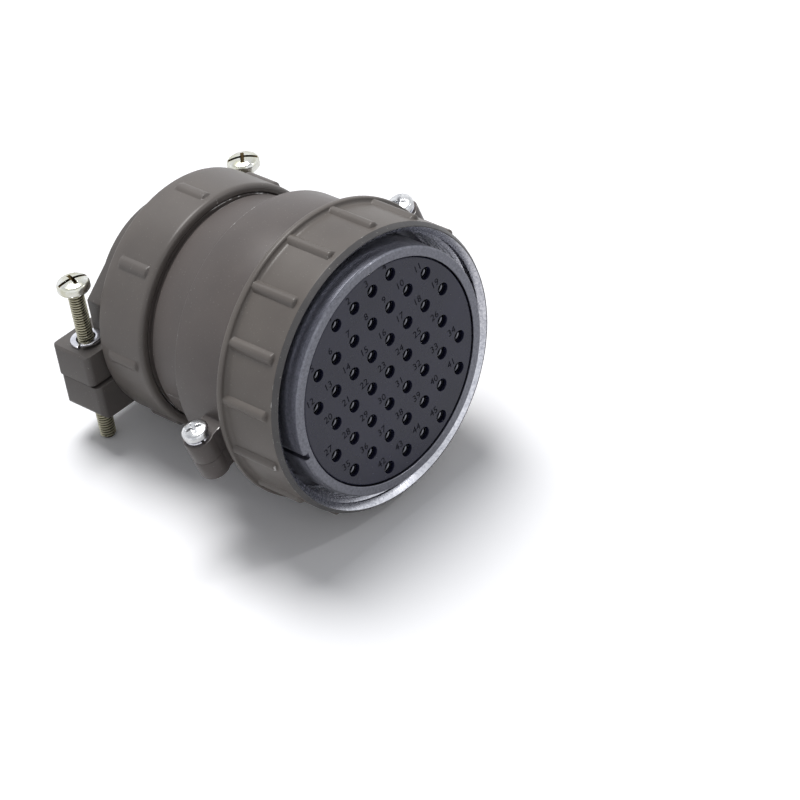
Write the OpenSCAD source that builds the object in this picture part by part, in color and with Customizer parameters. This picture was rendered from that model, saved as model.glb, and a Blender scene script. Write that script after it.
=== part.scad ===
// Circular multi-pole cable plug: threaded coupling nut, 45 socket contacts,
// split rear housing and a saddle clamp for the cable.
// The plug's axis lies along Y. The mating face is at Y = 0 and faces -Y.
// The origin is where the axis meets the mating face. Z is up, along the clamp screws.

/* [Front shell] */
// Radius of the spigot that enters the receptacle
spigot_r = 30; // [29.5:0.1:30.3]
// Radius of the opening in the spigot, round the insulator
spigot_bore_r = 27.6; // [27.4:0.1:28]
// Radius of the flange that the coupling nut pulls on
flange_r = 31.8; // [31.4:0.1:32]
// Angle of the keyway in the spigot, seen from the mating side
keyway_angle = -168.6; // [-180:0.1:180]

/* [Coupling nut] */
// Radius of the nut's plain cylinder
nut_r = 35; // [34.6:0.1:35.4]
// Radius of the collar at the nut's rear
nut_collar_r = 36.4; // [36:0.1:36.8]
// Radius of the threaded bore, halfway up the thread
nut_thread_r = 32.4; // [32.2:0.05:32.6]
// Number of grip ribs round the nut
nut_ribs = 16; // [8:1:20]
// How far the nut's front rim lies behind the mating face
nut_front = 1.95; // [1.5:0.05:2.4]

/* [Contacts] */
// Spacing of the contacts along a row
contact_pitch = 6.2; // [6:0.05:6.25]
// Spacing of the rows
row_pitch = 7.5; // [7:0.05:7.5]
// Angle by which the rows rise towards +X
row_angle = 9.6; // [-20:0.1:20]
// Radius of the holes in the insulator's face
contact_hole_r = 1.55; // [1.4:0.05:1.6]

/* [Rear housing] */
// Radius of the housing's barrel
barrel_r = 32.6; // [32.2:0.1:33]
// Radius of the housing's neck
neck_r = 28.1; // [28:0.1:28.6]
// Angle by which the joint between the half shells rises towards +X
shell_angle = 15.4; // [0:0.1:30]
// Distance of the shell screws from the axis
ear_reach = 37.7; // [37.5:0.1:39]

/* [Rear nut] */
// Radius of the rear nut's plain cylinder
rear_nut_r = 30.2; // [30:0.1:30.6]
// Number of grip ribs round the rear nut
rear_nut_ribs = 8; // [6:1:12]

/* [Cable clamp] */
// Radius of the cable entry
cable_r = 19; // [15:0.1:19.5]
// Distance of the clamp screws from the axis
clamp_reach = 28.5; // [28:0.1:29]
// How far the left clamp screw's head stands above the lock washer
left_screw_lift = 13.5; // [2:0.1:16]
// How far the right clamp screw's head stands above the lock washer
right_screw_lift = 15.5; // [2:0.1:16]

/* [Hidden] */

fine = 128;
small = 48;
painted = "#6a625b";
plated = "#8f9092";
zinc = "#b9b7ae";

// Front shell, along Y
flange_front = 13.8;
flange_back = 15.7;
shell_body_r = 30.6;
shell_groove_r = 29.9;
groove_front = 22;
groove_back = 24.6;
front_shell_end = 27;
insert_bore_r = 28.8;
insert_seat = 8;
snap_groove_r = 29.3;
snap_front = 20.2;
snap_back = 21.6;
keyway_w = 1.6;
keyway_floor_r = 28.8;
ring_edge = 0.12;

// Coupling nut, along Y
nut_rim_r = 34.2;
nut_rim_bevel = 1.2;
nut_thread_end = 13.2;
nut_relief_r = 33.2;
nut_wall_front = 16;
nut_collar_front = 17;
nut_back = 19.6;
nut_bore_r = shell_body_r + 0.08;
nut_rib_r = 1.35;
nut_rib_centre = nut_r - 0.35;
nut_rib_front = 4.6;

// Contacts: holes in each row, from one edge of the insert to the other
row_counts = [4, 7, 8, 7, 8, 7, 4];
insulator_face = 0.3;
insulator_split = 12;
rear_insulator_end = 20.1;
insulator_r = spigot_bore_r - 0.2;
insert_r = insert_bore_r - 0.2;
hole_lip = 1.65;
socket_r = 1.8;
socket_bore_r = 1.15;
socket_front = 1.85;
tail_r = 1.4;
tail_end = 25;
cup_r = 1;
cup_depth = 5;

// Rear housing, along Y
shell_front = 19.9;
barrel_end = 37.4;
neck_end = 49.8;
thread_front = 51.2;
shell_end = 59.6;
thread_r = 27.92;
relief_r = 26.9;
rear_bore_r = 24.5;
chamber_r = 29.6;
chamber_back = 33.9;
seat_r = shell_body_r + 0.05;
tongue_r = shell_groove_r + 0.05;
ear_y = 26.1;
ear_r = 3.7;
ear_web = 6.4;
upper_ear_h = 5.9;
lower_ear_h = 5.3;
shell_screw_r = 1.45;
shell_washer_h = 0.8;

// Rear nut, along Y
rear_nut_front = 51.1;
rear_nut_back = 65.9;
rear_nut_wall = 63.3;
rear_nut_thread_r = thread_r + 0.08;
rear_nut_hole_r = 25.2;
rear_rib_r = 1.9;
rear_rib_centre = rear_nut_r - 1.2;

// Cable clamp: Y along the axis, Z up
clamp_flange_r = 27.4;
clamp_flange_front = 61;
clamp_flange_back = 62.4;
clamp_neck_r = 24.9;
clamp_neck_end = 67;
clamp_front = 66.2;
saddle_front = 67.3;
arch_back = 75;
clamp_back = 79.7;
clamp_y = 73.2;
lower_ear_end = 33.6;
upper_ear_end = 34.1;
upper_ear_top = -0.6;
upper_ear_bottom = -8.7;
lower_ear_top = -9.3;
lower_ear_bottom = -18.3;
saddle_r = 22;
cheek_x = 24.4;
cheek_top = 8;
corner = 1.6;
lower_corner = 2.2;
clamp_screw_r = 2;
clamp_screw_l = 42;
clamp_washer_h = 1.1;

// Points along an arc about c, from angle a0 to a1
function arc(c, r, a0, a1, steps = 4) =
    [for (i = [0:steps]) let (a = a0 + (a1 - a0) * i / steps) c + r * [cos(a), sin(a)]];

// Solid turned about the plug's axis from points [radius, y]
module turned(points) {
    rotate([-90, 0, 0])
        rotate_extrude($fn = fine)
            polygon(points);
}

// Places its children round the axis, on the side at the given angle from +X towards +Z
module around(angle) {
    rotate([0, -angle, 0])
        children();
}

// Round bar along Y, from y0 to y1, at the given radius, with a tapered front end.
// Its inner side is cut off, so that it stays out of the nut's bore.
module grip_rib(radius, bar_r, y0, y1) {
    taper = 0.8;
    difference() {
        union() {
            translate([radius, y0 + taper, 0])
                rotate([-90, 0, 0])
                    cylinder(r = bar_r, h = y1 - y0 - taper, $fn = small);
            translate([radius, y0, 0])
                rotate([-90, 0, 0])
                    cylinder(r1 = bar_r * 0.55, r2 = bar_r, h = taper, $fn = small);
        }
        translate([0, y0 - 1, 0])
            rotate([-90, 0, 0])
                cylinder(r = radius - 0.4, h = y1 - y0 + 2, $fn = fine);
    }
}

// Cylinder along Y
module bar_y(r, y0, y1) {
    translate([0, y0, 0])
        rotate([-90, 0, 0])
            cylinder(r = r, h = y1 - y0, $fn = small);
}

// Flat outline in X and Z, made solid from y0 to y1
module slab_y(y0, y1) {
    translate([0, y1, 0])
        rotate([90, 0, 0])
            linear_extrude(y1 - y0)
                children();
}

module front_shell() {
    color(plated)
        difference() {
            turned([
                [spigot_bore_r + ring_edge, 0], [spigot_r - 0.4, 0], [spigot_r, 0.4],
                [spigot_r, flange_front], [flange_r, flange_front],
                [flange_r, flange_back], [shell_body_r, flange_back],
                [shell_body_r, groove_front], [shell_groove_r, groove_front],
                [shell_groove_r, groove_back], [shell_body_r, groove_back],
                [shell_body_r, front_shell_end], [insert_bore_r, front_shell_end],
                [insert_bore_r, snap_back], [snap_groove_r, snap_back],
                [snap_groove_r, snap_front], [insert_bore_r, snap_front],
                [insert_bore_r, insert_seat], [spigot_bore_r, insert_seat],
                [spigot_bore_r, ring_edge]]);
            around(keyway_angle)
                translate([keyway_floor_r, -1, -keyway_w / 2])
                    cube([3, flange_front, keyway_w]);
        }
}

module coupling_nut() {
    lip = nut_back - 0.7;
    color(painted) {
        union() {
            turned(concat(
                [[nut_rim_r - 0.25, nut_front], [nut_rim_r, nut_front],
                 [nut_r, nut_front + nut_rim_bevel], [nut_r, nut_collar_front]],
                arc([nut_r + 0.9, nut_collar_front], 0.9, 180, 90),
                arc([nut_collar_r - 0.7, lip], 0.7, -20, 80),
                [[nut_bore_r, nut_back], [nut_bore_r, nut_wall_front],
                 [nut_relief_r, nut_wall_front], [nut_relief_r, nut_thread_end],
                 [nut_thread_r, nut_thread_end],
                 [nut_thread_r, nut_front + 1.5]]));
            for (i = [0:nut_ribs - 1])
                around((i + 0.5) * 360 / nut_ribs)
                    grip_rib(nut_rib_centre, nut_rib_r, nut_rib_front, nut_collar_front + 0.6);
        }
    }
}

// Places its children at each contact
module at_contacts() {
    rows = len(row_counts);
    around(row_angle)
        for (row = [0:rows - 1])
            for (i = [0:row_counts[row] - 1])
                translate([(i - (row_counts[row] - 1) / 2) * contact_pitch, 0,
                           (row - (rows - 1) / 2) * row_pitch])
                    children();
}

module front_insulator() {
    color("#20232c")
        difference() {
            turned([
                [0, insulator_face], [insulator_r - 0.3, insulator_face],
                [insulator_r, insulator_face + 0.3], [insulator_r, insert_seat + 0.2],
                [insert_r, insert_seat + 0.2], [insert_r, insulator_split],
                [0, insulator_split]]);
            at_contacts() {
                bar_y(contact_hole_r, -1, insulator_split + 1);
                bar_y(socket_r + 0.1, hole_lip, insulator_split + 1);
            }
        }
}

module rear_insulator() {
    color("#1b1c20")
        difference() {
            turned([
                [0, insulator_split + 0.1], [insert_r, insulator_split + 0.1],
                [insert_r, rear_insulator_end], [0, rear_insulator_end]]);
            at_contacts()
                bar_y(tail_r + 0.1, insulator_split - 1, rear_insulator_end + 1);
        }
}

module socket_contacts() {
    color("#c9a646")
        at_contacts()
            turned([
                [socket_bore_r + 0.25, socket_front], [socket_r - 0.2, socket_front],
                [socket_r, socket_front + 0.2], [socket_r, insulator_split], [tail_r, insulator_split],
                [tail_r, tail_end], [cup_r, tail_end],
                [cup_r, tail_end - cup_depth], [0, tail_end - cup_depth],
                [0, insulator_split - 3], [socket_bore_r, insulator_split - 3],
                [socket_bore_r, socket_front + 0.3]]);
}

module insert_snap_ring() {
    ring_inner = 26.4;
    ring_gap = 40;
    color("#77797c")
        around(90 - ring_gap / 2)
            translate([0, snap_front + 0.1, 0])
                rotate([-90, 0, 0])
                    rotate_extrude(angle = 360 - ring_gap, $fn = fine)
                        translate([ring_inner, 0])
                            square([snap_groove_r - 0.1 - ring_inner, snap_back - snap_front - 0.2]);
}

// Half of the housing below its joint, with an ear of the given height on each side
module housing_half(ear_h, hole_r) {
    difference() {
        union() {
            rotate([-90, 0, 0])
                rotate_extrude(angle = 180, $fn = fine)
                    polygon([
                        [seat_r, shell_front], [barrel_r - 0.3, shell_front],
                        [barrel_r, shell_front + 0.3], [barrel_r, barrel_end - 0.3],
                        [barrel_r - 0.3, barrel_end], [neck_r, barrel_end],
                        [neck_r, neck_end - 0.3], [neck_r - 0.3, neck_end],
                        [relief_r, neck_end], [relief_r, thread_front],
                        [thread_r, thread_front], [thread_r, shell_end - 0.6],
                        [thread_r - 0.6, shell_end], [rear_bore_r, shell_end],
                        [rear_bore_r, chamber_back + chamber_r - rear_bore_r],
                        [chamber_r, chamber_back], [chamber_r, front_shell_end + 0.3],
                        [seat_r, front_shell_end + 0.3], [seat_r, groove_back - 0.05],
                        [tongue_r, groove_back - 0.2], [tongue_r, groove_front + 0.2],
                        [seat_r, groove_front + 0.05]]);
            for (side = [-1, 1])
                translate([side * ear_reach, ear_y, -ear_h]) {
                    cylinder(r = ear_r, h = ear_h, $fn = small);
                    mirror([(side + 1) / 2, 0, 0])
                        translate([0, -ear_web / 2, 0])
                            cube([ear_reach - barrel_r + 1, ear_web, ear_h]);
                }
        }
        for (side = [-1, 1])
            translate([side * ear_reach, ear_y, -ear_h - 1])
                cylinder(r = hole_r, h = ear_h + 2, $fn = small);
    }
}

module upper_half_shell() {
    color(painted)
        around(shell_angle + 180)
            housing_half(upper_ear_h, shell_screw_r + 0.25);
}

module lower_half_shell() {
    color(painted)
        around(shell_angle)
            housing_half(lower_ear_h, shell_screw_r + 0.03);
}

// Domed screw head with a cross recess, its underside at Z = 0.
// A slot of the given depth crosses the whole head, and a depth of 0 leaves it out.
module pan_head(r, h, slot_depth) {
    arm = r * 0.23;
    shoulder = h * 0.34;
    dome_r = r - shoulder * (1 - cos(65));
    dome_z = h * 0.5 + shoulder * sin(65);
    difference() {
        rotate_extrude($fn = small)
            polygon(concat([[0, 0], [r * 0.9, 0], [r, h * 0.16]],
                           arc([r - shoulder, h * 0.5], shoulder, 0, 65),
                           [for (i = [3:-1:0]) let (x = dome_r * i / 4)
                               [x, h - (h - dome_z) * pow(x / dome_r, 2)]]));
        intersection() {
            translate([0, 0, h * 0.35])
                cylinder(r1 = r * 0.2, r2 = r * 0.7, h = h * 0.75, $fn = small);
            for (turn = [0, 90])
                rotate([0, 0, turn])
                    translate([-r, -arm / 2, 0])
                        cube([2 * r, arm, 2 * h]);
        }
        if (slot_depth > 0)
            translate([-r - 1, -arm / 2, h - slot_depth])
                cube([2 * r + 2, arm, 2 * h]);
    }
}

// Screw pointing down, with its head's underside at Z = 0
module pan_screw(r, l, head_r, head_h, slot_depth) {
    tip = r * 0.3;
    pan_head(head_r, head_h, slot_depth);
    translate([0, 0, tip - l])
        cylinder(r = r, h = l - tip + 0.2, $fn = small);
    translate([0, 0, -l])
        cylinder(r1 = r - tip, r2 = r, h = tip, $fn = small);
}

// Split spring washer standing on Z = 0
module split_washer(inner_r, outer_r, h, turn) {
    gap = 14;
    rotate([0, 0, turn])
        rotate_extrude(angle = 360 - gap, $fn = small)
            translate([inner_r, 0])
                square([outer_r - inner_r, h]);
}

module shell_screw(side) {
    color(zinc)
        around(shell_angle)
            translate([side * ear_reach, ear_y, upper_ear_h + shell_washer_h + 0.02])
                rotate([0, 0, 30 * side])
                    pan_screw(shell_screw_r, upper_ear_h + lower_ear_h, 3.25, 2.3, 0);
}

module shell_screw_left() {
    shell_screw(-1);
}

module shell_screw_right() {
    shell_screw(1);
}

module shell_washer(side) {
    color(zinc)
        around(shell_angle)
            translate([side * ear_reach, ear_y, upper_ear_h + 0.01])
                split_washer(shell_screw_r + 0.15, 2.8, shell_washer_h, 100);
}

module shell_lock_washer_left() {
    shell_washer(-1);
}

module shell_lock_washer_right() {
    shell_washer(1);
}

module rear_nut() {
    edge = 1.1;
    color(painted)
        union() {
            turned(concat(
                arc([rear_nut_r - edge, rear_nut_front + edge], edge, -90, 0),
                [[rear_nut_r, rear_nut_back - 0.6], [rear_nut_r - 0.6, rear_nut_back],
                 [rear_nut_hole_r, rear_nut_back], [rear_nut_hole_r, rear_nut_wall],
                 [rear_nut_thread_r, rear_nut_wall],
                 [rear_nut_thread_r, rear_nut_front + 0.5],
                 [rear_nut_thread_r + 0.5, rear_nut_front]]));
            for (i = [0:rear_nut_ribs - 1])
                around(i * 360 / rear_nut_ribs)
                    grip_rib(rear_rib_centre, rear_rib_r, rear_nut_front + 2.2, rear_nut_back - 2.6);
        }
}

module seal_ring() {
    color("#26262a")
        turned([
            [20, shell_end + 0.05], [clamp_flange_r, shell_end + 0.05],
            [clamp_flange_r, clamp_flange_front - 0.1], [20, clamp_flange_front - 0.1]]);
}

module slip_ring() {
    color("#a3a5a8")
        turned([
            [clamp_neck_r + 0.4, clamp_flange_back + 0.1],
            [clamp_flange_r, clamp_flange_back + 0.1],
            [clamp_flange_r, rear_nut_wall - 0.1],
            [clamp_neck_r + 0.4, rear_nut_wall - 0.1]]);
}

// Flat plate from -x to x and from y0 to y1, with round corners
module rounded_plate(x, y0, y1, r) {
    for (side = [-1, 1])
        for (y = [y0 + r, y1 - r])
            translate([side * (x - r), y])
                circle(r = r, $fn = small);
    translate([-x, y0 + r])
        square([2 * x, y1 - y0 - 2 * r]);
    translate([r - x, y0])
        square([2 * (x - r), y1 - y0]);
}

// Rounds the upright corners of the clamp's ears, which reach the given distance from the axis
module trimmed(ear_end, y0, z0, z1) {
    intersection() {
        children();
        translate([0, 0, z0])
            linear_extrude(z1 - z0)
                rounded_plate(ear_end, y0, clamp_back, corner);
    }
}

module clamp_body() {
    color(painted)
        difference() {
            union() {
                turned([
                    [cable_r - 1, clamp_flange_front], [clamp_flange_r, clamp_flange_front],
                    [clamp_flange_r, clamp_flange_back], [clamp_neck_r, clamp_flange_back],
                    [clamp_neck_r, clamp_neck_end], [cable_r - 1, clamp_neck_end]]);
                trimmed(lower_ear_end, clamp_front, -saddle_r - 1, lower_ear_top)
                    slab_y(clamp_front, clamp_back)
                        intersection() {
                            union() {
                                circle(r = saddle_r, $fn = fine);
                                rounded_plate(lower_ear_end, lower_ear_bottom, 0, lower_corner);
                            }
                            translate([-50, lower_ear_top - 50])
                                square([100, 50]);
                        }
            }
            translate([0, clamp_flange_front - 1, 0])
                rotate([-90, 0, 0])
                    cylinder(r = cable_r, h = clamp_back - clamp_flange_front + 2, $fn = fine);
            for (side = [-1, 1])
                translate([side * clamp_reach, clamp_y, lower_ear_bottom - 1])
                    cylinder(r = clamp_screw_r + 0.08, h = 12, $fn = small);
        }
}

module upper_saddle() {
    color(painted)
        difference() {
            union() {
                slab_y(saddle_front, arch_back)
                    intersection() {
                        union() {
                            circle(r = saddle_r, $fn = fine);
                            polygon([
                                [-cheek_x, upper_ear_bottom], [cheek_x, upper_ear_bottom],
                                [cheek_x, cheek_top], [saddle_r * 0.57, saddle_r * 0.8],
                                [-saddle_r * 0.57, saddle_r * 0.8], [-cheek_x, cheek_top]]);
                        }
                        translate([-50, upper_ear_bottom])
                            square([100, 50]);
                    }
                trimmed(upper_ear_end, saddle_front, upper_ear_bottom, upper_ear_top)
                    slab_y(saddle_front, clamp_back)
                        polygon([
                            [-upper_ear_end, upper_ear_bottom],
                            [upper_ear_end, upper_ear_bottom],
                            [upper_ear_end, upper_ear_top - 0.6],
                            [upper_ear_end - 0.6, upper_ear_top],
                            [0.6 - upper_ear_end, upper_ear_top],
                            [-upper_ear_end, upper_ear_top - 0.6]]);
            }
            translate([0, saddle_front - 1, 0])
                rotate([-90, 0, 0])
                    cylinder(r = cable_r, h = 14, $fn = fine);
            translate([-cable_r * 0.999, saddle_front - 1, -20])
                cube([cable_r * 1.998, 14, 20]);
            for (side = [-1, 1])
                translate([side * clamp_reach, clamp_y, upper_ear_bottom - 1])
                    cylinder(r = clamp_screw_r + 0.35, h = 12, $fn = small);
        }
}

module clamp_washer(side) {
    color(zinc)
        translate([side * clamp_reach, clamp_y, upper_ear_top + 0.02])
            split_washer(clamp_screw_r + 0.35, 3.8, clamp_washer_h, 215);
}

module clamp_lock_washer_left() {
    clamp_washer(-1);
}

module clamp_lock_washer_right() {
    clamp_washer(1);
}

module clamp_screw(side, lift, turn) {
    color("#c2bb9a")
        translate([side * clamp_reach, clamp_y, upper_ear_top + clamp_washer_h + lift])
            rotate([0, 0, turn])
                pan_screw(clamp_screw_r, clamp_screw_l, 4, 3.2, 0.8);
}

module clamp_screw_left() {
    clamp_screw(-1, left_screw_lift, -15);
}

module clamp_screw_right() {
    clamp_screw(1, right_screw_lift, -43);
}

front_shell();
coupling_nut();
front_insulator();
rear_insulator();
socket_contacts();
insert_snap_ring();
upper_half_shell();
lower_half_shell();
shell_screw_left();
shell_screw_right();
shell_lock_washer_left();
shell_lock_washer_right();
rear_nut();
seal_ring();
slip_ring();
clamp_body();
upper_saddle();
clamp_lock_washer_left();
clamp_lock_washer_right();
clamp_screw_left();
clamp_screw_right();
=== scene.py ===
import math

import bmesh
import bpy
from mathutils import Matrix, Vector


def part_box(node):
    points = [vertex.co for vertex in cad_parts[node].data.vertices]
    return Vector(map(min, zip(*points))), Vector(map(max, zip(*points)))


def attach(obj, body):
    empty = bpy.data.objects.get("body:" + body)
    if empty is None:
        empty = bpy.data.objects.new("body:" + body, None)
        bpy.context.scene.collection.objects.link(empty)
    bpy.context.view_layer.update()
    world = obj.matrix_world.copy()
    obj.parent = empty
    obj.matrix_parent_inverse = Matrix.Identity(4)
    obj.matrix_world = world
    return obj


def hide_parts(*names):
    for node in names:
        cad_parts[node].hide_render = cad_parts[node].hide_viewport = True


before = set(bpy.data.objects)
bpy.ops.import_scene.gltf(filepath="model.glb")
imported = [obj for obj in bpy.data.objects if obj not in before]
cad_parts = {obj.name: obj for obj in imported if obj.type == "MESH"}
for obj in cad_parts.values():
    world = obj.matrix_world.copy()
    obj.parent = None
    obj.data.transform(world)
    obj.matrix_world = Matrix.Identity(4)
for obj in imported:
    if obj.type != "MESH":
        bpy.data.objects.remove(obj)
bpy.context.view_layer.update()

mm = 0.001
meshing = {
    "merge": 2e-6,         # metres within which a frame node's points are one
    "flatAngle": 0.8,      # degrees under which its neighbouring faces are one flat face
    "roundAngle": 30,      # degrees past which an edge is rounded
    "sharpAngle": 32,      # degrees past which an edge is shaded sharp
    "flatCorners": 8,      # a face with more corners than this is shaded flat
    "acrossAxis": 0.9999,  # and so is one whose normal is this near to the plug's axis
    "wornWidth": 0.35,     # widest face that counts as an edge, in millimetres
    "wornBend": 8,         # least bend from its neighbour, in degrees
}
scene = bpy.context.scene
print("frame loaded,", len(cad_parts), "nodes")


def extent(nodeName, axis):
    # lowest and highest of a frame node along one axis, in millimetres
    low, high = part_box(nodeName)
    return round(low[axis] / mm, 2), round(high[axis] / mm, 2)


def filleted(corners, steps=4):
    # corners are [radius, y] or [radius, y, fillet]; every fillet becomes an arc of points
    points = []
    for i, corner in enumerate(corners):
        here = Vector(corner[:2])
        if len(corner) < 3:
            points.append(here)
            continue
        before = (Vector(corners[i - 1][:2]) - here).normalized()
        after = (Vector(corners[(i + 1) % len(corners)][:2]) - here).normalized()
        half = before.angle(after) / 2
        reach = corner[2] / math.tan(half)
        centre = here + (before + after).normalized() * corner[2] / math.sin(half)
        start = here + before * reach - centre
        sweep = start.angle_signed(here + after * reach - centre)
        for k in range(steps + 1):
            turned = start.copy()
            turned.rotate(Matrix.Rotation(-sweep * k / steps, 2))
            points.append(centre + turned)
    return points


def spunProfile(points, steps):
    # closed ring of points [radius, y] in millimetres, spun round the plug's axis
    bm = bmesh.new()
    verts = [bm.verts.new((p[0] * mm, p[1] * mm, 0)) for p in points]
    edges = [bm.edges.new((verts[i - 1], verts[i])) for i in range(len(verts))]
    bmesh.ops.spin(bm, geom=verts + edges, cent=(0, 0, 0), axis=(0, 1, 0),
                   angle=2 * math.pi, steps=steps, use_merge=True)
    bmesh.ops.recalc_face_normals(bm, faces=bm.faces)
    return bm


def nodeCopy(nodeName):
    # merged copy of a frame node, with its flat areas dissolved back into whole faces
    bm = bmesh.new()
    bm.from_mesh(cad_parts[nodeName].data)
    bmesh.ops.remove_doubles(bm, verts=bm.verts, dist=meshing["merge"])
    bmesh.ops.dissolve_degenerate(bm, edges=bm.edges, dist=meshing["merge"])
    flat = math.radians(meshing["flatAngle"])
    bmesh.ops.dissolve_limit(bm, angle_limit=flat, verts=bm.verts, edges=bm.edges)
    return bm


def mergeInto(bm, part, matrix=Matrix()):
    bmesh.ops.transform(part, matrix=matrix, verts=part.verts)
    mesh = bpy.data.meshes.new("part")
    part.to_mesh(mesh)
    part.free()
    bm.from_mesh(mesh)
    bpy.data.meshes.remove(mesh)


def roundEdges(bm, width, segments=2):
    least = math.radians(meshing["roundAngle"])
    edges = [e for e in bm.edges if len(e.link_faces) == 2 and e.calc_face_angle(0) > least]
    bmesh.ops.bevel(bm, geom=edges, offset=width * mm, offset_type="OFFSET", affect="EDGES",
                    segments=segments, profile=0.5, material=-1, clamp_overlap=True)


def narrowEdge(face):
    # narrow faces along convex edges are where the finish wears
    longest = max(e.calc_length() for e in face.edges)
    width = face.calc_area() / longest if longest else 0
    bend = max((e.calc_face_angle_signed(0) for e in face.edges), default=0)
    return 1.0 if width < meshing["wornWidth"] * mm and bend > math.radians(meshing["wornBend"]) else 0.0


def addPiece(name, bm, materials, body, slot, replaces, worn=narrowEdge):
    # the wear value rides on the faces, for the shaders to read
    layer = bm.faces.layers.float.new("wear")
    for face in bm.faces:
        face[layer] = worn(face)
    mesh = bpy.data.meshes.new(name)
    bm.to_mesh(mesh)
    bm.free()
    # a frame node's own corner normals no longer fit once its edges are rounded
    if "custom_normal" in mesh.attributes:
        mesh.attributes.remove(mesh.attributes["custom_normal"])
    mesh.set_sharp_from_angle(angle=math.radians(meshing["sharpAngle"]))
    # that call makes every face smooth, so wide flat faces get their own normal back after it
    for polygon in mesh.polygons:
        few = len(polygon.vertices) <= meshing["flatCorners"]
        polygon.use_smooth = few and abs(polygon.normal.y) < meshing["acrossAxis"]
    for material in materials:
        mesh.materials.append(finishes[material])
    piece = bpy.data.objects.new(name, mesh)
    scene.collection.objects.link(piece)
    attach(piece, body)
    if replaces:
        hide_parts(*replaces)
    return piece


def helicalRidge(bm, section, matrix, pitch, length, steps, fade):
    # closed section [radius, height] swept up a thread along Z; both ends sink into the first radius
    ridge = bmesh.new()
    face = ridge.faces.new([ridge.verts.new((p[0] * mm, 0, p[1] * mm)) for p in section])
    turns = length / pitch
    bmesh.ops.spin(ridge, geom=[face], cent=(0, 0, 0), axis=(0, 0, 1), dvec=(0, 0, pitch * mm / steps),
                   angle=2 * math.pi * turns, steps=round(turns * steps), use_merge=False)
    bmesh.ops.remove_doubles(ridge, verts=ridge.verts, dist=1e-7)
    root = section[0][0] * mm
    lowest = min(p[1] for p in section) * mm
    highest = length * mm - lowest
    for v in ridge.verts:
        flat = Vector((v.co.x, v.co.y))
        share = min(v.co.z - lowest, highest - v.co.z) / (fade * mm)
        radius = root + (flat.length - root) * max(0.02, min(1, share))
        v.co.x, v.co.y = flat.normalized() * radius
    bmesh.ops.recalc_face_normals(ridge, faces=ridge.faces)
    mergeInto(bm, ridge, matrix)


def smoothMax(a, b, k):
    h = max(k - abs(a - b), 0) / k
    return max(a, b) + h * h * k / 4


def raiseRibs(bm, ribs):
    # crowds the spun columns towards the ribs, then lifts them into rounded bars
    count, phase = ribs["count"], math.radians(ribs["phase"])
    step = 2 * math.pi / count
    for v in bm.verts:
        radius = math.hypot(v.co.x, v.co.z)
        angle = math.atan2(v.co.z, v.co.x) - phase
        angle -= ribs["crowd"] * math.sin(count * angle) / count
        if radius > ribs["above"] * mm:
            off = (angle + step / 2) % step - step / 2
            y = v.co.y / mm
            lead = min(max((y - ribs["front"]) / ribs["lead"], 0), 1)
            tail = min(max((ribs["back"] - y) / ribs["tail"], 0), 1)
            ends = math.sqrt(max(0, 1 - (1 - lead) ** 2)) * math.sqrt(max(0, 1 - (1 - tail) ** 2))
            bar = ribs["bar"] * ends
            side = abs(ribs["centre"] * off)
            lift = math.sqrt(bar * bar - side * side) if side < bar else (bar - side) * 2
            radius = smoothMax(radius / mm, ribs["centre"] + lift, ribs["blend"]) * mm
        angle += phase
        v.co.x, v.co.z = radius * math.cos(angle), radius * math.sin(angle)


def shaderGroup(name, inputs, outputs):
    group = bpy.data.node_groups.new(name, "ShaderNodeTree")
    for title, value in inputs:
        socket = group.interface.new_socket(title, in_out="INPUT", socket_type="NodeSocketFloat")
        socket.default_value = value
    for title in outputs:
        group.interface.new_socket(title, in_out="OUTPUT", socket_type="NodeSocketFloat")
    return group, group.nodes.new("NodeGroupInput"), group.nodes.new("NodeGroupOutput")


def addNode(tree, kind, settings=None, **links):
    made = tree.nodes.new(kind)
    for key, value in (settings or {}).items():
        setattr(made, key, value)
    for key, source in links.items():
        tree.links.new(source, made.inputs[key])
    return made


def maths(tree, operation, a, b=None, clamp=False):
    made = addNode(tree, "ShaderNodeMath", {"operation": operation, "use_clamp": clamp})
    for socket, value in zip(made.inputs, (a, b)):
        if isinstance(value, (int, float)):
            socket.default_value = value
        elif value is not None:
            tree.links.new(value, socket)
    return made.outputs[0]


def noise(tree, coords, scale, detail=2, rough=0.5):
    made = addNode(tree, "ShaderNodeTexNoise", Vector=coords)
    made.inputs["Detail"].default_value = detail
    made.inputs["Roughness"].default_value = rough
    if isinstance(scale, (int, float)):
        made.inputs["Scale"].default_value = scale
    else:
        tree.links.new(scale, made.inputs["Scale"])
    return made.outputs["Fac"]


def mapRange(tree, value, low, high, to=(0, 1)):
    made = addNode(tree, "ShaderNodeMapRange", Value=value)
    for key, number in zip(("From Min", "From Max", "To Min", "To Max"), (low, high, *to)):
        made.inputs[key].default_value = number
    return made.outputs["Result"]


def mixColour(tree, factor, a, b):
    made = addNode(tree, "ShaderNodeMix", {"data_type": "RGBA"})
    for key, value in (("Factor", factor), ("A", a), ("B", b)):
        socket = next(s for s in made.inputs if s.name == key and s.enabled)
        if isinstance(value, tuple):
            socket.default_value = (*value, 1)
        else:
            tree.links.new(value, socket)
    return next(s for s in made.outputs if s.enabled)


def srgb(r, g, b):
    # 0-255 screen values to the linear colour that the shaders take
    return tuple(((c / 255 + 0.055) / 1.055) ** 2.4 if c > 10 else c / 255 / 12.92 for c in (r, g, b))


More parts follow.
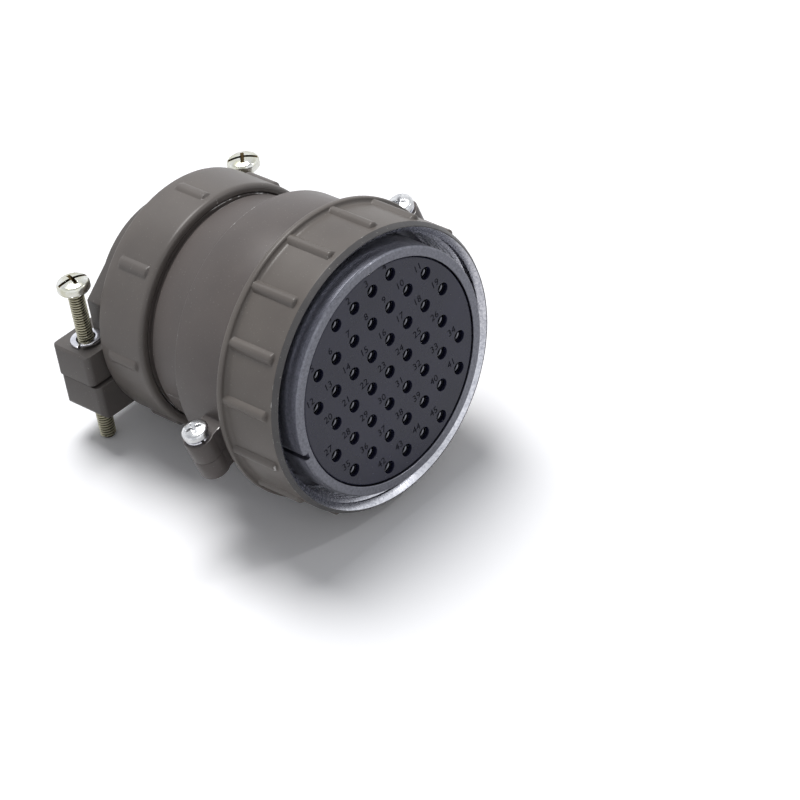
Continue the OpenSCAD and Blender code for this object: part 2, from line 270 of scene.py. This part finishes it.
def wearGroup():
    # mask: 1 where the finish is rubbed through, on the faces marked as worn
    group, start, end = shaderGroup("edgeWear", [("Spread", 0.5), ("Scale", 700.0)], ["Mask"])
    coords = addNode(group, "ShaderNodeTexCoord").outputs["Object"]
    edge = addNode(group, "ShaderNodeAttribute", {"attribute_name": "wear"}).outputs["Fac"]
    coarse = noise(group, coords, 90, 2)
    fine = noise(group, coords, start.outputs["Scale"], 3, 0.6)
    both = maths(group, "ADD", maths(group, "MULTIPLY", coarse, 0.5), maths(group, "MULTIPLY", fine, 0.5))
    bare = maths(group, "MULTIPLY", maths(group, "SUBTRACT", both, start.outputs["Spread"]), 14, clamp=True)
    group.links.new(maths(group, "MULTIPLY", bare, edge), end.inputs["Mask"])
    return group


def paintGroup():
    # sprayed paint: fine orange peel, a few nibs of dust and slow drift of shade
    group, start, end = shaderGroup("sprayedPaint", [("Grain", 1400.0)], ["Height", "Drift", "Dust"])
    coords = addNode(group, "ShaderNodeTexCoord").outputs["Object"]
    grain = noise(group, coords, start.outputs["Grain"], 2)
    group.links.new(maths(group, "ADD", grain, noise(group, coords, 420, 1)), end.inputs["Height"])
    group.links.new(noise(group, coords, 55, 3), end.inputs["Drift"])
    speck = maths(group, "SUBTRACT", noise(group, coords, 2600, 1), 0.7)
    group.links.new(maths(group, "MULTIPLY", speck, 9, clamp=True), end.inputs["Dust"])
    return group


def latheGroup():
    # marks left by turning, which run round the plug's axis, and scuffs over them
    group, start, end = shaderGroup("latheMarks", [("Pitch", 9000.0), ("Scale", 500.0)], ["Lines", "Scuffs"])
    coords = addNode(group, "ShaderNodeTexCoord").outputs["Object"]
    split = addNode(group, "ShaderNodeSeparateXYZ", Vector=coords)
    squares = [maths(group, "POWER", split.outputs[axis], 2) for axis in ("X", "Z")]
    radius = maths(group, "SQRT", maths(group, "ADD", *squares))
    line = addNode(group, "ShaderNodeTexNoise", {"noise_dimensions": "1D"})
    line.inputs["Detail"].default_value = 3
    group.links.new(maths(group, "ADD", radius, split.outputs["Y"]), line.inputs["W"])
    group.links.new(start.outputs["Pitch"], line.inputs["Scale"])
    group.links.new(line.outputs["Fac"], end.inputs["Lines"])
    group.links.new(noise(group, coords, start.outputs["Scale"], 4, 0.65), end.inputs["Scuffs"])
    return group


groups = {"wear": wearGroup(), "paint": paintGroup(), "lathe": latheGroup()}


def newMaterial(name, **constants):
    material = bpy.data.materials.new(name)
    material.use_nodes = True
    shader = material.node_tree.nodes["Principled BSDF"]
    for key, value in constants.items():
        shader.inputs[key.replace("_", " ")].default_value = value
    return material, material.node_tree, shader


def placeGroup(tree, which, **values):
    made = addNode(tree, "ShaderNodeGroup", {"node_tree": groups[which]})
    for key, value in values.items():
        made.inputs[key].default_value = value
    return made


def addBump(tree, shader, height, distance):
    made = addNode(tree, "ShaderNodeBump", Height=height)
    made.inputs["Distance"].default_value = distance * mm
    tree.links.new(made.outputs["Normal"], shader.inputs["Normal"])


bareColour = srgb(206, 205, 203)  # metal under the paint
dustColour = srgb(176, 172, 166)  # dust on it


def paintedMetal(name, paint, dark, spread, rough=0.36, grain=0.012, dust=0.35):
    material, tree, shader = newMaterial(name, Specular_IOR_Level=0.42)
    spray = placeGroup(tree, "paint")
    wear = placeGroup(tree, "wear", Spread=spread)
    colour = mixColour(tree, mapRange(tree, spray.outputs["Drift"], 0.3, 0.7), dark, paint)
    dusty = maths(tree, "MULTIPLY", spray.outputs["Dust"], dust)
    colour = mixColour(tree, dusty, colour, dustColour)
    colour = mixColour(tree, wear.outputs["Mask"], colour, bareColour)
    tree.links.new(colour, shader.inputs["Base Color"])
    tree.links.new(wear.outputs["Mask"], shader.inputs["Metallic"])
    roughness = mapRange(tree, spray.outputs["Drift"], 0.2, 0.8, (rough - 0.05, rough + 0.07))
    tree.links.new(roughness, shader.inputs["Roughness"])
    addBump(tree, shader, spray.outputs["Height"], grain)
    return material


def turnedMetal(name, bright, dull, rough, lines=0.006, scuffs=500.0):
    material, tree, shader = newMaterial(name, Metallic=1.0)
    lathe = placeGroup(tree, "lathe", Scale=scuffs)
    colour = mixColour(tree, mapRange(tree, lathe.outputs["Scuffs"], 0.38, 0.66), bright, dull)
    tree.links.new(colour, shader.inputs["Base Color"])
    roughness = mapRange(tree, lathe.outputs["Scuffs"], 0.3, 0.7, (rough - 0.08, rough + 0.1))
    tree.links.new(roughness, shader.inputs["Roughness"])
    addBump(tree, shader, lathe.outputs["Lines"], lines)
    return material


def mouldedPlastic(name, colour, pale, rough, grain=900, specular=0.5):
    material, tree, shader = newMaterial(name, Specular_IOR_Level=specular)
    coords = addNode(tree, "ShaderNodeTexCoord").outputs["Object"]
    speck = noise(tree, coords, grain, 2)
    shade = mixColour(tree, mapRange(tree, noise(tree, coords, 70, 3), 0.3, 0.75), colour, pale)
    tree.links.new(shade, shader.inputs["Base Color"])
    tree.links.new(mapRange(tree, speck, 0.3, 0.7, (rough - 0.06, rough + 0.08)), shader.inputs["Roughness"])
    addBump(tree, shader, speck, 0.006)
    return material


def contactMetal(name, bright, dark, mouth, boreEnd):
    # plated mouth of each socket, with painted shade inside its bore, plated again behind the bore
    material, tree, shader = newMaterial(name, Metallic=1.0)
    coords = addNode(tree, "ShaderNodeTexCoord").outputs["Object"]
    depth = addNode(tree, "ShaderNodeSeparateXYZ", Vector=coords).outputs["Y"]
    pastMouth = mapRange(tree, depth, mouth * mm, (mouth + 0.15) * mm)
    inBore = mapRange(tree, depth, boreEnd * mm, (boreEnd - 0.3) * mm)
    # the bore between the mouth and the cups takes the near-black colour: painted shade
    paintedBoreShade = maths(tree, "MULTIPLY", pastMouth, inBore)
    tree.links.new(mixColour(tree, paintedBoreShade, bright, dark), shader.inputs["Base Color"])
    roughness = mapRange(tree, noise(tree, coords, 170, 1), 0.35, 0.65, (0.08, 0.24))
    tree.links.new(roughness, shader.inputs["Roughness"])
    return material


def threadMetal(name, crest, grooveShade):
    # plated thread with painted shade in its grooves; the wear value tells crests from grooves
    material, tree, shader = newMaterial(name, Metallic=0.9)
    coords = addNode(tree, "ShaderNodeTexCoord").outputs["Object"]
    edge = addNode(tree, "ShaderNodeAttribute", {"attribute_name": "wear"}).outputs["Fac"]
    tint = mixColour(tree, mapRange(tree, noise(tree, coords, 220, 2), 0.35, 0.7), crest, grooveShade)
    tint = mixColour(tree, maths(tree, "MULTIPLY", edge, 0.8), tint, crest)
    # grooves take the dark colour as painted shade; crests keep the plating
    tree.links.new(mixColour(tree, edge, grooveShade, tint), shader.inputs["Base Color"])
    roughness = mapRange(tree, noise(tree, coords, 900, 2), 0.3, 0.7, (0.24, 0.46))
    tree.links.new(roughness, shader.inputs["Roughness"])
    return material


finishes = {
    "nut": paintedMetal("nutPaint", srgb(106, 100, 95), srgb(96, 90, 86), 0.56),
    # a darker, greyer copy of the nut's paint on its front chamfer is painted shade; its heavier dust and
    # grain are the chamfer's pits
    "nutChamferShaded": paintedMetal("chamferShadedPaint", srgb(92, 90, 90), srgb(70, 69, 70), 0.62,
                               grain=0.05, dust=0.8),
    "rearNut": paintedMetal("rearNutPaint", srgb(104, 98, 94), srgb(94, 89, 86), 0.62),
    "housing": paintedMetal("housingPaint", srgb(97, 90, 87), srgb(88, 82, 80), 0.56),
    "clamp": paintedMetal("clampPaint", srgb(94, 89, 86), srgb(84, 80, 78), 0.62, rough=0.45),
    "shell": turnedMetal("platedShell", srgb(130, 131, 139), srgb(108, 109, 117), 0.34, 0.01, 1500.0),
    "bareNut": turnedMetal("bareNutMetal", srgb(226, 226, 232), srgb(182, 183, 192), 0.26, 0.008, 1500.0),
    "insulator": mouldedPlastic("insulatorBlack", srgb(28, 29, 49), srgb(35, 36, 59), 0.2),
    "insulatorRear": mouldedPlastic("rearInsulatorBlack", srgb(30, 31, 35), srgb(40, 41, 46), 0.55),
    "numbers": mouldedPlastic("numberInk", srgb(26, 26, 34), srgb(20, 20, 27), 0.85, 900, 0.05),
    # the near-black second colour is painted shade inside each socket's bore
    "contact": contactMetal("contactPlate", srgb(122, 122, 128), srgb(20, 20, 22), 2.0, 11.5),
    "zinc": turnedMetal("brightZinc", srgb(240, 240, 240), srgb(196, 197, 200), 0.2, 0.003),
    "spring": turnedMetal("springSteel", srgb(244, 244, 250), srgb(206, 207, 216), 0.22, 0.003),
    "screw": turnedMetal("screwZinc", srgb(240, 240, 236), srgb(206, 204, 178), 0.2, 0.003, 260.0),
    # the cross recess is far darker than the head: partly the plating's yellow-brown tint, partly painted
    # shade
    "recess": turnedMetal("recessZincShaded", srgb(120, 104, 72), srgb(58, 44, 32), 0.35, 0.003, 420.0),
    # the dark second colour is painted shade in the thread's grooves
    "thread": threadMetal("threadZinc", srgb(196, 192, 170), srgb(72, 66, 48)),
    "steel": turnedMetal("ringSteel", srgb(180, 182, 184), srgb(130, 132, 136), 0.38),
    "rubber": mouldedPlastic("sealRubber", srgb(34, 34, 36), srgb(46, 46, 48), 0.7),
}
print("materials made:", len(finishes))

nutFront, nutBack = extent("coupling_nut", 1)
couplingNut = {
    "radius": 35, "collar": 36.4, "collarFront": 17.9, "rim": 34.2, "lip": 0.25, "chamfer": 1.2,
    "front": nutFront, "back": nutBack, "bore": 30.68, "relief": 33.2, "reliefBack": 16, "columns": 384,
    # where points lie along the barrel, close together at the fronts of the ribs
    "rows": [3.7, 4.1, 4.4, 4.5, 4.56, 4.64, 4.74, 4.86, 5.0, 5.3, 5.9, 7, 8.5, 10, 11.5, 13, 14.5,
             15.8, 16.5],
    "thread": {"crest": 31.95, "root": 32.75, "pitch": 1.5, "start": 3.7, "end": 13.1,
               "flank": 0.72, "land": 0.16, "steps": 128, "fade": 0.5},
    "wear": {"ribEnd": 0.45, "ribRise": 0.3, "rimDepth": 3.5, "rimShare": 0.9},
    "standsOn": 0.9,  # from its back to the line of the collar that it stands on
    "ribs": {"count": 16, "phase": 11.25, "crowd": 0.66, "above": 34.8, "front": 4.5, "lead": 0.5,
             "back": 19.5, "tail": 1.5, "bar": 1.35, "centre": 34.65, "blend": 0.14},
}


def makeCouplingNut(s):
    r, rim, front, back, t = s["radius"], s["rim"], s["front"], s["back"], s["thread"]
    lip, wear = rim - s["lip"], s["wear"]
    bm = spunProfile(filleted(
        [[lip, front, 0.05], [rim, front, 0.08], [r, front + s["chamfer"], 0.2]] + [[r, y] for y in s["rows"]]
        + [[r, s["collarFront"], 0.9], [s["collar"], s["collarFront"], 0.5], [s["collar"], back, 0.6],
           [s["bore"], back, 0.2], [s["bore"], s["reliefBack"]], [s["relief"], s["reliefBack"]],
           [s["relief"], t["end"] + 0.1], [t["root"], t["end"] + 0.1],
           [t["root"], t["start"] - 0.4], [t["root"] - 0.12, t["start"] - 0.5]]), s["columns"])
    raiseRibs(bm, s["ribs"])
    sunk = t["root"] + 0.1
    tooth = [[sunk, -t["flank"]], [sunk, t["flank"]], [t["crest"], t["land"]], [t["crest"], -t["land"]]]
    alongY = Matrix.Translation((0, (t["start"] + 0.5) * mm, 0)) @ Matrix.Rotation(-math.pi / 2, 4, "X")
    helicalRidge(bm, tooth, alongY, t["pitch"], t["end"] - t["start"] - 1.2, t["steps"], t["fade"])
    # inside faces take bare metal; the front chamfer takes the darker paint, as painted shade
    for face in bm.faces:
        centre = face.calc_center_median()
        radius = math.hypot(centre.x, centre.z) / mm
        if radius < lip - 0.01:
            face.material_index = 1
        elif centre.y < (front + s["chamfer"] - 0.05) * mm:
            face.material_index = 2

    def worn(face):
        # the rim's edges and the front ends of the ribs
        centre = face.calc_center_median()
        radius = math.hypot(centre.x, centre.z) / mm
        along = centre.y / mm - s["ribs"]["front"]
        onRib = 0 < along < wear["ribEnd"] and radius > r + wear["ribRise"]
        onRim = wear["rimShare"] * narrowEdge(face) * (centre.y < wear["rimDepth"] * mm)
        return 1.0 if onRib else onRim

    addPiece("couplingNut", bm, ["nut", "bareNut", "nutChamferShaded"], "nut", "painted_nut",
             ["coupling_nut"], worn=worn)


makeCouplingNut(couplingNut)
print("coupling nut made")

rearFront, rearBack = extent("rear_nut", 1)
rearNut = {
    "radius": 30.2, "front": rearFront, "back": rearBack, "bore": 28.0, "wall": 63.3, "hole": 25.2,
    "columns": 288,
    "rows": [52.7, 53.1, 53.2, 53.28, 53.4, 53.55, 53.75, 54, 54.6, 56, 58, 60, 61.6, 62.4, 62.8, 63.05,
             63.25, 63.4, 63.6],
    "ribs": {"count": 8, "phase": 0, "crowd": 0.72, "above": 30.0, "front": 53.2, "lead": 0.7,
             "back": 63.4, "tail": 0.9, "bar": 1.9, "centre": 29.0, "blend": 0.14},
}


def makeRearNut(s):
    r = s["radius"]
    bm = spunProfile(filleted(
        [[s["bore"] + 0.3, s["front"], 0.1], [r, s["front"], 1.1]] + [[r, y] for y in s["rows"]]
        + [[r, s["back"], 0.6], [s["hole"], s["back"], 0.25], [s["hole"], s["wall"]], [s["bore"], s["wall"]],
           [s["bore"], s["front"] + 0.5]]), s["columns"])
    raiseRibs(bm, s["ribs"])
    addPiece("rearNut", bm, ["rearNut"], "cap_nut", "painted_nut", ["rear_nut"])


makeRearNut(rearNut)
print("rear nut made")

castings = [
    # node, piece, finish, body, slot, edge width, segments
    ("upper_half_shell", "upperHalfShell", "housing", "housing", "painted_housing", 0.18, 2),
    ("lower_half_shell", "lowerHalfShell", "housing", "housing", "painted_housing", 0.18, 2),
    ("clamp_body", "clampBody", "clamp", "clamp", "painted_clamp", 0.55, 3),
    ("upper_saddle", "upperSaddle", "clamp", "saddle", "painted_clamp", 0.55, 3),
    ("front_shell", "frontShell", "shell", "housing", "plated_shell", 0.1, 2),
    ("front_insulator", "frontInsulator", "insulator", "housing", "insulator", 0.13, 2),
    ("shell_screw_left", "shellScrewLeft", "zinc", "housing", "bright_zinc", 0.07, 2),
    ("shell_screw_right", "shellScrewRight", "zinc", "housing", "bright_zinc", 0.07, 2),
]
for nodeName, pieceName, finish, body, slot, width, segments in castings:
    bm = nodeCopy(nodeName)
    roundEdges(bm, width, segments)
    addPiece(pieceName, bm, [finish], body, slot, [nodeName])
print("castings and insulator made")

contacts = {
    "rows": [4, 7, 8, 7, 8, 7, 4], "pitch": 6.2, "rowPitch": 7.5, "rowAngle": 9.6,
    "face": extent("front_insulator", 1)[0], "digitSize": 2.6, "digitOffset": (-0.3, 2.15), "proud": 0.015,
}


def makeNumbers(s):
    # plain contact numbers, row by row from the top, each above its own hole
    bm = bmesh.new()
    number = 0
    tilt = Matrix.Rotation(-math.radians(s["rowAngle"]), 4, "Y")
    for row, count in enumerate(s["rows"]):
        for i in range(count):
            number += 1
            curve = bpy.data.curves.new("digits", "FONT")
            curve.body, curve.size = str(number), s["digitSize"] * mm
            curve.align_x, curve.resolution_u = "RIGHT", 2
            text = bpy.data.objects.new("digits", curve)
            scene.collection.objects.link(text)
            mesh = text.evaluated_get(bpy.context.evaluated_depsgraph_get()).to_mesh()
            x = (i - (count - 1) / 2) * s["pitch"] + s["digitOffset"][0]
            z = ((len(s["rows"]) - 1) / 2 - row) * s["rowPitch"] + s["digitOffset"][1]
            place = tilt @ Matrix.Translation((x * mm, (s["face"] - s["proud"]) * mm, z * mm))
            mesh.transform(place @ Matrix.Rotation(math.pi / 2, 4, "X"))
            bm.from_mesh(mesh)
            bpy.data.objects.remove(text)
            bpy.data.curves.remove(curve)
    addPiece("contactNumbers", bm, ["numbers"], "housing", "insulator", [])


makeNumbers(contacts)
print("contact numbers made")

washers = {
    # place is the right one's, before the tilt about Y; rise is how far the free end springs up
    "clamp": {"body": "saddle", "place": (28.5, 73.2, -0.58), "tilt": 0, "inner": 2.4, "outer": 3.8,
              "thick": 0.72, "rise": 0.74, "splits": {"left": 202, "right": 160}},
    "shell": {"body": "housing", "place": (37.7, 26.1, 5.91), "tilt": 15.4, "inner": 1.65, "outer": 3.1,
              "thick": 0.7, "rise": 0.06, "splits": {"left": 250, "right": 210}},
}
washerRing = {"gap": 12, "steps": 64, "edge": 0.09}


def makeWasher(kind, side, s, ring):
    rise, top = s["rise"], s["rise"] + s["thick"]
    bm = bmesh.new()
    corners = [(s["inner"], rise), (s["outer"], rise), (s["outer"], top), (s["inner"], top)]
    face = bm.faces.new([bm.verts.new((x * mm, 0, z * mm)) for x, z in corners])
    bmesh.ops.spin(bm, geom=[face], cent=(0, 0, 0), axis=(0, 0, 1), dvec=(0, 0, -rise * mm / ring["steps"]),
                   angle=math.radians(360 - ring["gap"]), steps=ring["steps"], use_merge=False)
    bmesh.ops.remove_doubles(bm, verts=bm.verts, dist=1e-7)
    bmesh.ops.recalc_face_normals(bm, faces=bm.faces)
    roundEdges(bm, ring["edge"], 2)
    x, y, z = s["place"]
    place = Vector((-x if side == "left" else x, y, z)) * mm
    split = math.radians(s["splits"][side] + ring["gap"] / 2)
    turned = Matrix.Translation(place) @ Matrix.Rotation(split, 4, "Z")
    bmesh.ops.transform(bm, matrix=Matrix.Rotation(-math.radians(s["tilt"]), 4, "Y") @ turned, verts=bm.verts)
    addPiece(kind + "LockWasher" + side.title(), bm, ["spring"], s["body"], "spring_steel",
             [kind + "_lock_washer_" + side])


for kind, values in washers.items():
    for side in values["splits"]:
        makeWasher(kind, side, values, washerRing)
print("lock washers made")

clampScrews = {
    "headHeight": 3.2, "length": 42, "edge": 0.1, "domeRadius": 3.37, "domeDrop": 0.61,
    "recessFloor": 0.8, "recessDepth": 0.12,
    "core": 1.58, "crest": 1.98, "pitch": 0.7, "land": 0.09, "steps": 24, "fade": 0.5,
    "overlap": 0.4,    # how far the core runs up into the head
    "tipBevel": 0.35,
}


def makeClampScrew(side, s):
    nodeName = "clamp_screw_" + side
    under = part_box(nodeName)[1].z / mm - s["headHeight"]
    tip = under - s["length"]
    x, y = (round(sum(extent(nodeName, axis)) / 2, 1) for axis in (0, 1))
    bm = nodeCopy(nodeName)
    everything = bm.verts[:] + bm.edges[:] + bm.faces[:]
    cut = bmesh.ops.bisect_plane(bm, geom=everything, dist=1e-7, plane_co=(0, 0, (under + 0.01) * mm),
                                 plane_no=(0, 0, 1), clear_inner=True)
    rims = [e for e in cut["geom_cut"] if isinstance(e, bmesh.types.BMEdge)]
    bmesh.ops.holes_fill(bm, edges=rims, sides=0)
    bmesh.ops.recalc_face_normals(bm, faces=bm.faces)
    roundEdges(bm, s["edge"], 2)
    core = bmesh.new()
    bmesh.ops.create_cone(core, cap_ends=True, segments=32, radius1=s["core"] * mm, radius2=s["core"] * mm,
                          depth=(s["length"] + s["overlap"]) * mm)
    roundEdges(core, s["tipBevel"], 2)
    mergeInto(bm, core, Matrix.Translation((x * mm, y * mm, (tip + under + s["overlap"]) / 2 * mm)))
    half = s["pitch"] / 2 - 0.02
    middle, crest = (s["core"] + s["crest"]) / 2, s["crest"]
    sunk, land = s["core"] - 0.05, s["land"]
    tooth = [[sunk, -half], [sunk, half], [middle, half * 0.6], [crest, land],
             [crest, -land], [middle, -half * 0.6]]
    helicalRidge(bm, tooth, Matrix.Translation((x * mm, y * mm, (tip + half + 0.1) * mm)), s["pitch"],
                 s["length"] - 2 * half - 0.5, s["steps"], s["fade"])
    # the shank takes the thread finish, with painted shade in its grooves; the cross recess takes the darker
    # finish, painted shade
    for face in bm.faces:
        centre = face.calc_center_median() / mm
        radius = math.hypot(centre.x - x, centre.y - y)
        dome = under + s["headHeight"] - s["domeDrop"] * (radius / s["domeRadius"]) ** 2
        if centre.z < under - 0.02:
            face.material_index = 1
        elif radius < s["domeRadius"] - 0.1 and under + s["recessFloor"] < centre.z < dome - s["recessDepth"]:
            face.material_index = 2

    def onCrest(face):
        centre = face.calc_center_median() / mm
        return float(math.hypot(centre.x - x, centre.y - y) > middle)

    addPiece("clampScrew" + side.title(), bm, ["screw", "thread", "recess"], "screw_" + side, "yellow_zinc",
             [nodeName], worn=onCrest)


for side in ("left", "right"):
    makeClampScrew(side, clampScrews)
print("clamp screws made")

plain = {
    "rear_insulator": "insulatorRear", "socket_contacts": "contact", "insert_snap_ring": "steel",
    "seal_ring": "rubber", "slip_ring": "steel",
}
for nodeName, finish in plain.items():
    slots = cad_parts[nodeName].data.materials
    slots.clear()
    slots.append(finishes[finish])
print("frame nodes finished")

studio = {
    "floorSize": 4.0, "floorTint": (0.8, 0.8, 0.81), "floorColour": (1.12, 1.12, 1.14),
    "ambient": 0.38, "ambientColour": (0.95, 0.97, 1.0, 1), "skyHeights": (0.5, 0.9), "skyShades": (1.0, 0.5),
    "sensor": 36, "lens": 180, "clip": (0.05, 20), "distance": 912.5, "aim": (-1.11, -2.65, -6.11),
    "azimuth": -40.386, "elevation": 34.591, "roll": -10.572,
    "lightAim": (0, 0.03, 0),
    "lights": {
        # place, size and power
        "top": ((0.18, 0.42, 1.75), 1.0, 29.0),
        "front": ((0.64, -0.68, 0.76), 0.07, 0.9),
        "rim": ((-0.4, -0.95, 0.7), 0.16, 0.2),
    },
}


def restingPlane():
    # the plug stands on the coupling nut's collar and on the tips of both clamp screws
    left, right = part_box("clamp_screw_left"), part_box("clamp_screw_right")
    xs = [(b[0].x + b[1].x) / 2 for b in (left, right)]
    y = (left[0].y + left[1].y) / 2
    slope = (right[0].z - left[0].z) / (xs[1] - xs[0])
    tips = (left[0].z + right[0].z) / 2
    radius, collarY = couplingNut["collar"] * mm, (nutBack - couplingNut["standsOn"]) * mm
    bottom = -radius * math.sqrt(1 + slope * slope)
    rise = (tips - bottom) / (y - collarY)
    return Vector((0, collarY, bottom)), Vector((-slope, -rise, 1)).normalized()


def makeFloor(s):
    point, up = restingPlane()
    bm = bmesh.new()
    bmesh.ops.create_grid(bm, x_segments=1, y_segments=1, size=s["floorSize"] / 2)
    place = Matrix.Translation(point) @ up.to_track_quat("Z", "Y").to_matrix().to_4x4()
    bmesh.ops.transform(bm, matrix=place, verts=bm.verts)
    material, tree, shader = newMaterial("floorWhite", Roughness=0.9, Specular_IOR_Level=0.1)
    rays = addNode(tree, "ShaderNodeLightPath")
    seen = mixColour(tree, rays.outputs["Is Camera Ray"], s["floorTint"], s["floorColour"])
    tree.links.new(seen, shader.inputs["Base Color"])
    mesh = bpy.data.meshes.new("floor")
    bm.to_mesh(mesh)
    bm.free()
    mesh.materials.append(material)
    floor = bpy.data.objects.new("floor", mesh)
    scene.collection.objects.link(floor)


def makeWorld(s):
    world = bpy.data.worlds.new("studio")
    scene.world = world
    world.use_nodes = True
    tree = world.node_tree
    background = tree.nodes["Background"]
    rays = addNode(tree, "ShaderNodeLightPath")
    seen = maths(tree, "ADD", rays.outputs["Is Camera Ray"], rays.outputs["Is Glossy Ray"], clamp=True)
    strength = mapRange(tree, seen, 0, 1, (s["ambient"], 1.0))
    direction = addNode(tree, "ShaderNodeTexCoord").outputs["Generated"]
    height = addNode(tree, "ShaderNodeSeparateXYZ", Vector=direction).outputs["Z"]
    shade = mapRange(tree, height, *s["skyHeights"], s["skyShades"])
    background.inputs["Color"].default_value = s["ambientColour"]
    tree.links.new(maths(tree, "MULTIPLY", strength, shade), background.inputs["Strength"])


def addLight(name, place, size, power, aim):
    data = bpy.data.lights.new(name, "AREA")
    data.shape, data.size, data.energy = "DISK", size, power
    light = bpy.data.objects.new(name, data)
    light.location = place
    light.rotation_mode = "QUATERNION"
    light.rotation_quaternion = (Vector(place) - Vector(aim)).to_track_quat("Z", "Y")
    scene.collection.objects.link(light)


def makeCamera(s):
    data = bpy.data.cameras.new("camera")
    data.lens, data.sensor_width = s["lens"], s["sensor"]
    data.clip_start, data.clip_end = s["clip"]
    camera = bpy.data.objects.new("camera", data)
    a, e = math.radians(s["azimuth"]), math.radians(s["elevation"])
    back = Vector((math.sin(a) * math.cos(e), -math.cos(a) * math.cos(e), math.sin(e)))
    camera.location = Vector(s["aim"]) * mm + back * s["distance"] * mm
    camera.rotation_mode = "QUATERNION"
    facing = (-back).to_track_quat("-Z", "Y").to_matrix().to_4x4()
    turn = facing @ Matrix.Rotation(math.radians(s["roll"]), 4, "Z")
    camera.rotation_quaternion = turn.to_quaternion()
    scene.collection.objects.link(camera)
    scene.camera = camera


makeCamera(studio)
makeFloor(studio)
makeWorld(studio)
for name, (place, size, power) in studio["lights"].items():
    addLight(name, place, size, power, studio["lightAim"])
scene.view_settings.view_transform = "Standard"
print("studio made")
